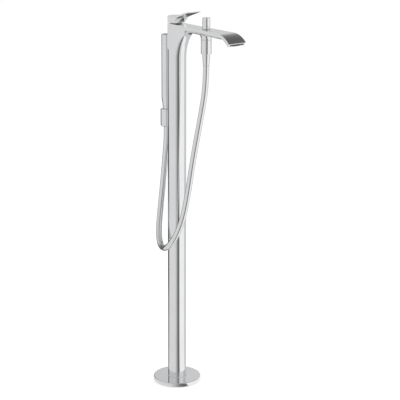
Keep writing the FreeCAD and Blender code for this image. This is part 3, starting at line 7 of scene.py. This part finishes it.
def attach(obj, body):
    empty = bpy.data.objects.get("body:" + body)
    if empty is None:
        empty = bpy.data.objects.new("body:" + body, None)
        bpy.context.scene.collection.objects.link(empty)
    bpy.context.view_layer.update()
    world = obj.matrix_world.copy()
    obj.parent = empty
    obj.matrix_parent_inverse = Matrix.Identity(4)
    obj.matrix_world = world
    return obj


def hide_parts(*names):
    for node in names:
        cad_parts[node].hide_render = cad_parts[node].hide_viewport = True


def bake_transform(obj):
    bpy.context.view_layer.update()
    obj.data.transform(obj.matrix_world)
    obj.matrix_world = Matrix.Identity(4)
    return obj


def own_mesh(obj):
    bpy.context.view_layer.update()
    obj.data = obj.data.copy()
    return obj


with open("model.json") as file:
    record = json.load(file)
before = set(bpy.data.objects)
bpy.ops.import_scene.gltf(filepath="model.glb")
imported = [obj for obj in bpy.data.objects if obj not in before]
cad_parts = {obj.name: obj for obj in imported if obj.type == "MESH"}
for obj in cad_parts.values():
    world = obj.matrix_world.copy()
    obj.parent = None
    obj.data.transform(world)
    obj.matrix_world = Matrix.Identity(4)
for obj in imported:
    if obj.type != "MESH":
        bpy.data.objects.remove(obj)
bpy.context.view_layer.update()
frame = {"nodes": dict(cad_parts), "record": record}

WHITE = (1, 1, 1, 1)


def add_object(name, data):
    new_object = bpy.data.objects.new(name, data)
    bpy.context.scene.collection.objects.link(new_object)
    return new_object


# ---- camera --------------------------------------------------------------------------------

CAMERA_PLACE = Vector((-1.995, -2.6287, 1.405))
CAMERA_YAW = math.radians(38.154)
CAMERA_PITCH = math.radians(15.941)
CAMERA_ROLL = math.radians(0.233)
CAMERA_LENS = 128.76
CAMERA_SENSOR = 36.0
CAMERA_REACH = 50.0


def add_camera():
    """The photograph's camera: yaw to the right of +y, pitch downwards, and roll."""
    data = bpy.data.cameras.new("camera")
    data.lens = CAMERA_LENS
    data.sensor_width = CAMERA_SENSOR
    data.clip_end = CAMERA_REACH
    camera = add_object("camera", data)
    forward = Vector((math.sin(CAMERA_YAW) * math.cos(CAMERA_PITCH),
                      math.cos(CAMERA_YAW) * math.cos(CAMERA_PITCH),
                      -math.sin(CAMERA_PITCH)))
    right = Vector((math.cos(CAMERA_YAW), -math.sin(CAMERA_YAW), 0))
    up = right.cross(forward)
    turned_right = right * math.cos(CAMERA_ROLL) + up * math.sin(CAMERA_ROLL)
    turned_up = up * math.cos(CAMERA_ROLL) - right * math.sin(CAMERA_ROLL)
    turn = Matrix((turned_right, turned_up, -forward)).transposed()
    camera.matrix_world = Matrix.Translation(CAMERA_PLACE) @ turn.to_4x4()
    bpy.context.scene.camera = camera


add_camera()

# ---- hose ----------------------------------------------------------------------------------

HOSE_ROUTE = (
    (0, -0.110, 0.807),
    (0, -0.110, 0.757),
    (-0.011, -0.103, 0.677),
    (-0.021, -0.090, 0.587),
    (-0.029, -0.081, 0.500),
    (-0.038, -0.074, 0.440),
    (-0.049, -0.061, 0.395),
    (-0.055, -0.040, 0.366),
    (-0.051, -0.013, 0.353),
    (-0.043, 0.013, 0.360),
    (-0.031, 0.032, 0.392),
    (-0.018, 0.041, 0.442),
    (-0.008, 0.044, 0.502),
    (-0.002, 0.044, 0.560),
    (0, 0.040, 0.607),
    (0, 0.040, 0.642),
)
HOSE_DIAMETER = 0.0142
HOSE_SIDES = 40
SPLINE_ORDER = 3
SPLINE_STEPS = 24


def route_line(route):
    """Points along the route's NURBS spline, read from a curve with no bevel."""
    curve = bpy.data.curves.new("hose_line", "CURVE")
    curve.dimensions = "3D"
    curve.resolution_u = SPLINE_STEPS
    spline = curve.splines.new("NURBS")
    spline.points.add(len(route) - 1)
    for point, place in zip(spline.points, route):
        point.co = (*place, 1)
    spline.order_u = SPLINE_ORDER
    spline.use_endpoint_u = True
    holder = add_object("hose_line", curve)
    line = bpy.data.meshes.new_from_object(holder)
    points = [v.co.copy() for v in line.vertices]
    bpy.data.objects.remove(holder)
    bpy.data.curves.remove(curve)
    bpy.data.meshes.remove(line)
    start = Vector(route[0])
    if (points[0] - start).length > (points[-1] - start).length:
        points.reverse()
    return points


def tube_along(name, points, radius, sides):
    """A smooth tube of quads along points, closed at its ends, with length along it as V."""
    last = len(points) - 1
    across = (points[1] - points[0]).normalized().orthogonal().normalized()
    verts = []
    for i, point in enumerate(points):
        tangent = (points[min(i + 1, last)] - points[max(i - 1, 0)]).normalized()
        across = (across - tangent * across.dot(tangent)).normalized()
        other = tangent.cross(across)
        for k in range(sides):
            turn = 2 * math.pi * k / sides
            verts.append(point + across * (radius * math.cos(turn)) + other * (radius * math.sin(turn)))
    faces = []
    for low in range(0, last * sides, sides):
        high = low + sides
        for k in range(sides):
            after = (k + 1) % sides
            faces.append((low + k, low + after, high + after, high + k))
    faces.append(tuple(reversed(range(sides))))
    faces.append(tuple(range(last * sides, len(verts))))
    mesh = bpy.data.meshes.new(name)
    mesh.from_pydata(verts, [], faces)
    layer = mesh.uv_layers.new(name="along")
    lengths = [0.0]
    for a, b in zip(points, points[1:]):
        lengths.append(lengths[-1] + (b - a).length)
    for face in mesh.polygons:
        face.use_smooth = len(face.vertices) == 4
        if not face.use_smooth:
            continue
        for loop in face.loop_indices:
            vertex = mesh.loops[loop].vertex_index
            ring, side = divmod(vertex, sides)
            # the last quad of a ring ends at side 0, where its U is 1
            ends_ring = side == 0 and vertex in (face.vertices[1], face.vertices[2])
            layer.data[loop].uv = (1.0 if ends_ring else side / sides, lengths[ring])
    mesh.validate()
    return add_object(name, mesh)


def add_hose():
    line = route_line(HOSE_ROUTE)
    hose = tube_along("hose_tube", line, HOSE_DIAMETER / 2, HOSE_SIDES)
    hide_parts("shower_hose")
    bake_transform(hose)
    return hose


hose = add_hose()

# ---- diverter spring -----------------------------------------------------------------------


def add_spring():
    """The diverter's spring as an object with a mesh of its own, carried by the stand; the real spring
    shortens against the bush as the knob is pulled.
    """
    solid = frame["nodes"]["diverter_spring"]
    spring = add_object("spring_coil", solid.data.copy())
    spring.matrix_world = solid.matrix_world
    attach(spring, "stand")
    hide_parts("diverter_spring")
    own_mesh(spring)
    return spring


spring = add_spring()

# ---- materials -----------------------------------------------------------------------------

# where most values of a noise texture begin and end
NOISE_LOW = 0.3
NOISE_HIGH = 0.7
# pointiness where the painted edge highlight starts, and where it is strongest
EDGE_START = 0.52
EDGE_FULL = 0.62
# the painted edge highlight's colour, from the light colour of the surface
EDGE_HIGHLIGHT_SHARE = 1.6
EDGE_HIGHLIGHT_LIFT = 0.02
EDGE_HIGHLIGHT_LIMIT = 0.95
# the shares of chrome's colour where it is hazy and where it is clear
HAZE_DARK = 0.965
HAZE_LIGHT = 1.02
HOSE_RING_PITCH = 0.0021


def new_material(name, kind="ShaderNodeBsdfPrincipled"):
    material = bpy.data.materials.new(name)
    material.use_nodes = True
    tree = material.node_tree
    tree.nodes.clear()
    out = tree.nodes.new("ShaderNodeOutputMaterial")
    shader = tree.nodes.new(kind)
    tree.links.new(shader.outputs[0], out.inputs[0])
    return material, tree, shader


def set_inputs(node, values):
    for name, value in values.items():
        node.inputs[name].default_value = value


def calculate(tree, operation, *values):
    """The result of a Math node on sockets and numbers."""
    node = tree.nodes.new("ShaderNodeMath")
    node.operation = operation
    for socket, value in zip(node.inputs, values):
        if isinstance(value, bpy.types.NodeSocket):
            tree.links.new(value, socket)
        else:
            socket.default_value = value
    return node.outputs[0]


def object_place(tree, stretch=(1, 1, 1)):
    coords = tree.nodes.new("ShaderNodeTexCoord")
    scaled = tree.nodes.new("ShaderNodeVectorMath")
    scaled.operation = "MULTIPLY"
    scaled.inputs[1].default_value = stretch
    tree.links.new(coords.outputs["Object"], scaled.inputs[0])
    return scaled.outputs[0]


def noise(tree, place, scale, detail=3.0, rough=0.5):
    node = tree.nodes.new("ShaderNodeTexNoise")
    set_inputs(node, {"Scale": scale, "Detail": detail, "Roughness": rough})
    tree.links.new(place, node.inputs["Vector"])
    return node.outputs["Fac"]


def spread(tree, value, low, high, from_low=NOISE_LOW, from_high=NOISE_HIGH):
    """A value mapped to a range of numbers."""
    node = tree.nodes.new("ShaderNodeMapRange")
    set_inputs(node, {"From Min": from_low, "From Max": from_high, "To Min": low, "To Max": high})
    tree.links.new(value, node.inputs["Value"])
    return node.outputs["Result"]


def tint(tree, value, dark, light, from_low=NOISE_LOW, from_high=NOISE_HIGH):
    """A value mapped to a range of colours."""
    node = tree.nodes.new("ShaderNodeValToRGB")
    ends = ((from_low, dark), (from_high, light))
    for element, (position, colour) in zip(node.color_ramp.elements, ends):
        element.position = position
        element.color = (*colour, 1)
    tree.links.new(value, node.inputs["Fac"])
    return node.outputs["Color"]


def bump(tree, shader, value, strength, distance):
    node = tree.nodes.new("ShaderNodeBump")
    set_inputs(node, {"Strength": strength, "Distance": distance})
    tree.links.new(value, node.inputs["Height"])
    tree.links.new(node.outputs["Normal"], shader.inputs["Normal"])


def painted_edge_highlight(tree):
    """The mask of the painted edge highlight: one where the surface turns over an edge, and nought where
    it is flat.
    """
    shape = tree.nodes.new("ShaderNodeNewGeometry")
    return spread(tree, shape.outputs["Pointiness"], 0.0, 1.0, from_low=EDGE_START, from_high=EDGE_FULL)


def chrome(name, colour, low_rough, high_rough):
    """Polished chrome: nearly clean, with faint water haze and fine polish lines."""
    material, tree, shader = new_material(name)
    place = object_place(tree)
    haze = noise(tree, place, scale=14.0, detail=4.0, rough=0.6)
    dark = tuple(c * HAZE_DARK for c in colour)
    light = tuple(min(c * HAZE_LIGHT, 1.0) for c in colour)
    tree.links.new(tint(tree, haze, dark, light), shader.inputs["Base Color"])
    lines = noise(tree, object_place(tree, stretch=(1, 1, 12)), scale=260.0, detail=2.0)
    smears = noise(tree, place, scale=42.0, detail=5.0, rough=0.65)
    smeared = spread(tree, smears, low_rough, high_rough)
    rough = calculate(tree, "ADD", smeared, spread(tree, lines, low=0.0, high=0.012))
    tree.links.new(rough, shader.inputs["Roughness"])
    ripple = noise(tree, place, scale=30.0, detail=2.0)
    bump(tree, shader, ripple, strength=0.02, distance=0.0004)
    set_inputs(shader, {"Metallic": 1.0, "Specular Tint": WHITE})
    return material


def hose_metal(name, dark, light, low_rough, high_rough):
    """Metal hose under a clear jacket: fine rings along it and a smooth coat over them."""
    material, tree, shader = new_material(name)
    coords = tree.nodes.new("ShaderNodeTexCoord")
    parts = tree.nodes.new("ShaderNodeSeparateXYZ")
    tree.links.new(coords.outputs["UV"], parts.inputs[0])
    turns = calculate(tree, "MULTIPLY", parts.outputs["Y"], 2 * math.pi / HOSE_RING_PITCH)
    rings = spread(tree, calculate(tree, "SINE", turns), 0.0, 1.0, from_low=-1.0, from_high=1.0)
    ringed = tint(tree, rings, dark, light, from_low=0.0, from_high=0.4)
    tree.links.new(ringed, shader.inputs["Base Color"])
    smears = noise(tree, object_place(tree), scale=60.0)
    tree.links.new(spread(tree, smears, low_rough, high_rough), shader.inputs["Roughness"])
    bump(tree, shader, rings, strength=0.03, distance=0.0002)
    set_inputs(shader, {"Metallic": 1.0, "Coat Weight": 0.15, "Coat Roughness": 0.06})
    return material


def machined(name, dark, light, low_rough, high_rough):
    """Turned or brushed metal with fine tool lines and a little tarnish."""
    material, tree, shader = new_material(name)
    tarnish = noise(tree, object_place(tree), scale=55.0, detail=5.0, rough=0.6)
    tree.links.new(tint(tree, tarnish, dark, light), shader.inputs["Base Color"])
    lines = noise(tree, object_place(tree, stretch=(1, 1, 30)), scale=90.0, detail=2.0)
    tree.links.new(spread(tree, lines, low_rough, high_rough), shader.inputs["Roughness"])
    bump(tree, shader, lines, strength=0.15, distance=0.0002)
    set_inputs(shader, {"Metallic": 1.0})
    return material


def moulded(name, dark, light, low_rough, high_rough, grain):
    """Moulded plastic or rubber: slight mottling, fine grain, and edges painted lighter as a painted
    edge highlight.
    """
    material, tree, shader = new_material(name)
    mottle = noise(tree, object_place(tree), scale=38.0, detail=4.0)
    body = tint(tree, mottle, dark, light)
    mix = tree.nodes.new("ShaderNodeMix")
    mix.data_type = "RGBA"
    # edges painted lighter than the body: a painted edge highlight
    edge_highlight = tuple(min(c * EDGE_HIGHLIGHT_SHARE + EDGE_HIGHLIGHT_LIFT, EDGE_HIGHLIGHT_LIMIT) for c in light)
    mix.inputs["B"].default_value = (*edge_highlight, 1)
    tree.links.new(painted_edge_highlight(tree), mix.inputs["Factor"])
    tree.links.new(body, mix.inputs["A"])
    tree.links.new(mix.outputs["Result"], shader.inputs["Base Color"])
    fine = noise(tree, object_place(tree), scale=grain, detail=2.0)
    tree.links.new(spread(tree, fine, low_rough, high_rough), shader.inputs["Roughness"])
    bump(tree, shader, fine, strength=0.12, distance=0.0002)
    return material


LOOKS = {
    "chrome": chrome("chrome_look", colour=(0.86, 0.865, 0.875), low_rough=0.045, high_rough=0.085),
    "hose_metal": hose_metal("hose_metal_look", dark=(0.76, 0.765, 0.775), light=(0.86, 0.865, 0.875),
                             low_rough=0.03, high_rough=0.06),
    "steel": machined("steel_look", dark=(0.50, 0.50, 0.51), light=(0.64, 0.64, 0.65),
                      low_rough=0.22, high_rough=0.38),
    "brass": machined("brass_look", dark=(0.62, 0.47, 0.22), light=(0.78, 0.63, 0.34),
                      low_rough=0.20, high_rough=0.36),
    "black_rubber": moulded("black_rubber_look", dark=(0.018, 0.018, 0.018), light=(0.035, 0.035, 0.036),
                            low_rough=0.55, high_rough=0.75, grain=900.0),
    "grey_rubber": moulded("grey_rubber_look", dark=(0.28, 0.29, 0.30), light=(0.37, 0.38, 0.39),
                           low_rough=0.50, high_rough=0.68, grain=900.0),
    "dark_plastic": moulded("dark_plastic_look", dark=(0.045, 0.045, 0.050), light=(0.075, 0.075, 0.082),
                            low_rough=0.32, high_rough=0.48, grain=1200.0),
    "white_plastic": moulded("white_plastic_look", dark=(0.72, 0.72, 0.70), light=(0.80, 0.80, 0.78),
                             low_rough=0.38, high_rough=0.52, grain=1200.0),
}

slot_of = {part["node"]: part["material_slot"] for part in frame["record"]["subparts"]}
for name, node in frame["nodes"].items():
    look = LOOKS[slot_of[name]]
    if not node.material_slots:
        node.data.materials.append(look)
    for material_slot in node.material_slots:
        material_slot.material = look
hose.data.materials.append(LOOKS["hose_metal"])
spring.data.materials.clear()
spring.data.materials.append(LOOKS["steel"])

# ---- floor ---------------------------------------------------------------------------------

FLOOR_COLOUR = 0.86
FLOOR_MOTTLE = 0.01
FLOOR_LIFT = 0.30
FLOOR_HALF = 14.0


def background_rays(tree):
    """One for rays from the camera, off polished surfaces or through clear ones, else nought."""
    path = tree.nodes.new("ShaderNodeLightPath")
    value = path.outputs["Is Camera Ray"]
    for kind in ("Is Glossy Ray", "Is Transmission Ray"):
        value = calculate(tree, "MAXIMUM", value, path.outputs[kind])
    return value


def floor_material():
    """Pale floor that the camera sees as white, and that keeps the shadow."""
    material, tree, shader = new_material("floor_look")
    mottle = noise(tree, object_place(tree), scale=3.0)
    pale = tint(tree, mottle, dark=(FLOOR_COLOUR - FLOOR_MOTTLE,) * 3, light=(FLOOR_COLOUR,) * 3)
    tree.links.new(pale, shader.inputs["Base Color"])
    lift = calculate(tree, "MULTIPLY", background_rays(tree), FLOOR_LIFT)
    tree.links.new(lift, shader.inputs["Emission Strength"])
    set_inputs(shader, {"Roughness": 0.9, "Specular IOR Level": 0.1, "Emission Color": WHITE})
    return material


def add_floor():
    mesh = bpy.data.meshes.new("floor")
    corners = ((-1, -1), (1, -1), (1, 1), (-1, 1))
    mesh.from_pydata([(x * FLOOR_HALF, y * FLOOR_HALF, 0) for x, y in corners], [], [(0, 1, 2, 3)])
    floor = add_object("floor", mesh)
    mesh.materials.append(floor_material())


# ---- painted reflection sheets -------------------------------------------------------------

# The painted reflection that polished metal shows round the column, in light and dark bands: an
# angle in degrees from the camera's side, to the right as the camera sees it, and the brightness there.
PAINTED_REFLECTION_GLOW = (
    (-180, 0.66),
    (-168, 0.40),
    (-160, 0.15),
    (-134, 0.15),
    (-123, 0.42),
    (-114, 0.64),
    (-107, 0.76),
    (-30, 0.76),
    (-18, 0.70),
    (-8, 0.54),
    (3, 0.32),
    (11, 0.19),
    (17, 0.15),
    (28, 0.15),
    (31, 0.96),
    (96, 0.98),
    (106, 0.66),
    (150, 0.62),
    (180, 0.66),
)
# The section of the painted reflection sheets, from the foot outwards and up: reach, height, and the
# share of that brightness in front, at the sides and behind. The dark painted floor reflection makes up
# the rest in the sheet on the floor, and the painted ceiling brightness above it.
FLOOR_SHEET = 0.0015
PAINTED_REFLECTION_PROFILE = (
    (0.059, FLOOR_SHEET, 1, 1, 1),
    (0.3, FLOOR_SHEET, 1, 1, 1),
    (0.6, FLOOR_SHEET, 1, 1, 0.6),
    (0.75, FLOOR_SHEET, 1, 1, 0),
    (2.6, FLOOR_SHEET, 1, 1, 0),
    (3.0, FLOOR_SHEET, 1, 1, 0.6),
    (4.0, FLOOR_SHEET, 1, 1, 1),
    (4.0, 0.7, 1, 1, 1),
    (4.0, 1.2, 0.68, 1, 1),
    (4.0, 1.9, 0.62, 1, 1),
    (3.9, 2.6, 0.5, 0.62, 0.62),
    (3.4, 3.4, 0.25, 0.22, 0.22),
    (2.2, 3.9, 0, 0, 0),
    (0.02, 4.0, 0, 0, 0),
)
PAINTED_REFLECTION_SECTORS = 240
# the angles, to the left and to the right, where the sides begin and where the back begins
SIDES_START = (-100, 112)
BEHIND_START = (-118, 166)
# the dark painted reflection of the floor; the camera itself sees the floor white
DARK_FLOOR_REFLECTION = 0.11
# The painted ceiling reflection's brightness by angle, dark where the spout's bend shows it as a painted
# dark reflection.
CEILING_REFLECTION = (
    (-180, 0.16),
    (-165, 0.50),
    (78, 0.50),
    (92, 0.11),
    (172, 0.11),
    (180, 0.16),
)


def glow_at(table, angle):
    """Brightness at an angle, in a straight line between the chosen ones."""
    for (low, glow_low), (high, glow_high) in zip(table, table[1:]):
        if low <= angle <= high:
            return glow_low + (glow_high - glow_low) * (angle - low) / (high - low)
    return table[-1][1]


def painted_reflection_mesh():
    """The painted reflection sheets, with their glow at each point."""
    camera_side = math.atan2(CAMERA_PLACE.y, CAMERA_PLACE.x)
    verts = []
    glows = []
    for k in range(PAINTED_REFLECTION_SECTORS):
        angle = -180 + 360 * k / PAINTED_REFLECTION_SECTORS
        turn = camera_side + math.radians(angle)
        for reach, height, front, side, behind in PAINTED_REFLECTION_PROFILE:
            verts.append((reach * math.cos(turn), reach * math.sin(turn), height))
            if SIDES_START[0] < angle < SIDES_START[1]:
                share = front
            elif BEHIND_START[0] < angle < BEHIND_START[1]:
                share = side
            else:
                share = behind
            dark = DARK_FLOOR_REFLECTION if height == FLOOR_SHEET else glow_at(CEILING_REFLECTION, angle)
            glows.append(glow_at(PAINTED_REFLECTION_GLOW, angle) * share + dark * (1 - share))
    rows = len(PAINTED_REFLECTION_PROFILE)
    faces = []
    for k in range(PAINTED_REFLECTION_SECTORS):
        after = (k + 1) % PAINTED_REFLECTION_SECTORS
        for i in range(rows - 1):
            faces.append((k * rows + i, after * rows + i, after * rows + i + 1, k * rows + i + 1))
    mesh = bpy.data.meshes.new("painted_reflection")
    mesh.from_pydata(verts, [], faces)
    layer = mesh.attributes.new("glow", "FLOAT", "POINT")
    layer.data.foreach_set("value", glows)
    return mesh


def add_painted_reflections():
    """Glowing sheets on the floor and round the set, seen by polished surfaces alone: painted
    reflections, which light nothing and cast no shadow.
    """
    mesh = painted_reflection_mesh()
    sheets = add_object("painted_reflection", mesh)
    material, tree, shader = new_material("painted_reflection_look", "ShaderNodeEmission")
    read = tree.nodes.new("ShaderNodeAttribute")
    read.attribute_name = "glow"
    tree.links.new(read.outputs["Fac"], shader.inputs["Strength"])
    mesh.materials.append(material)
    # the sheets are kept out of the camera's view, out of shadows and out of diffuse light, so they show
    # only as painted reflections
    sheets.visible_camera = False
    sheets.visible_shadow = False
    sheets.visible_diffuse = False
    sheets.visible_transmission = False


# ---- light ---------------------------------------------------------------------------------

WORLD_LIGHT = 0.82
WORLD_SEEN = 1.0
LAMP_TARGET = Vector((0, 0, 0.5))


def background(tree, strength):
    node = tree.nodes.new("ShaderNodeBackground")
    set_inputs(node, {"Color": WHITE, "Strength": strength})
    return node.outputs[0]


def add_world():
    """An even sky, which the camera and polished surfaces see as white."""
    world = bpy.data.worlds.new("studio")
    bpy.context.scene.world = world
    world.use_nodes = True
    tree = world.node_tree
    tree.nodes.clear()
    out = tree.nodes.new("ShaderNodeOutputWorld")
    mix = tree.nodes.new("ShaderNodeMixShader")
    tree.links.new(background_rays(tree), mix.inputs["Fac"])
    tree.links.new(background(tree, WORLD_LIGHT), mix.inputs[1])
    tree.links.new(background(tree, WORLD_SEEN), mix.inputs[2])
    tree.links.new(mix.outputs[0], out.inputs[0])


def add_lamp(name, place, size, watts):
    """A square lamp aimed at the middle of the part, left out of reflections."""
    data = bpy.data.lights.new(name, "AREA")
    data.shape = "RECTANGLE"
    data.size = size
    data.size_y = size
    data.energy = watts
    lamp = add_object(name, data)
    lamp.location = place
    lamp.rotation_euler = (LAMP_TARGET - Vector(place)).to_track_quat("-Z", "Y").to_euler()
    lamp.visible_glossy = False


add_floor()
add_world()
add_painted_reflections()
add_lamp("lamp_top", place=(0.3, -0.6, 3.2), size=2.4, watts=16.0)
add_lamp("lamp_left", place=(-2.4, -0.8, 2.2), size=1.6, watts=8.0)

bpy.context.scene.view_settings.view_transform = "Standard"
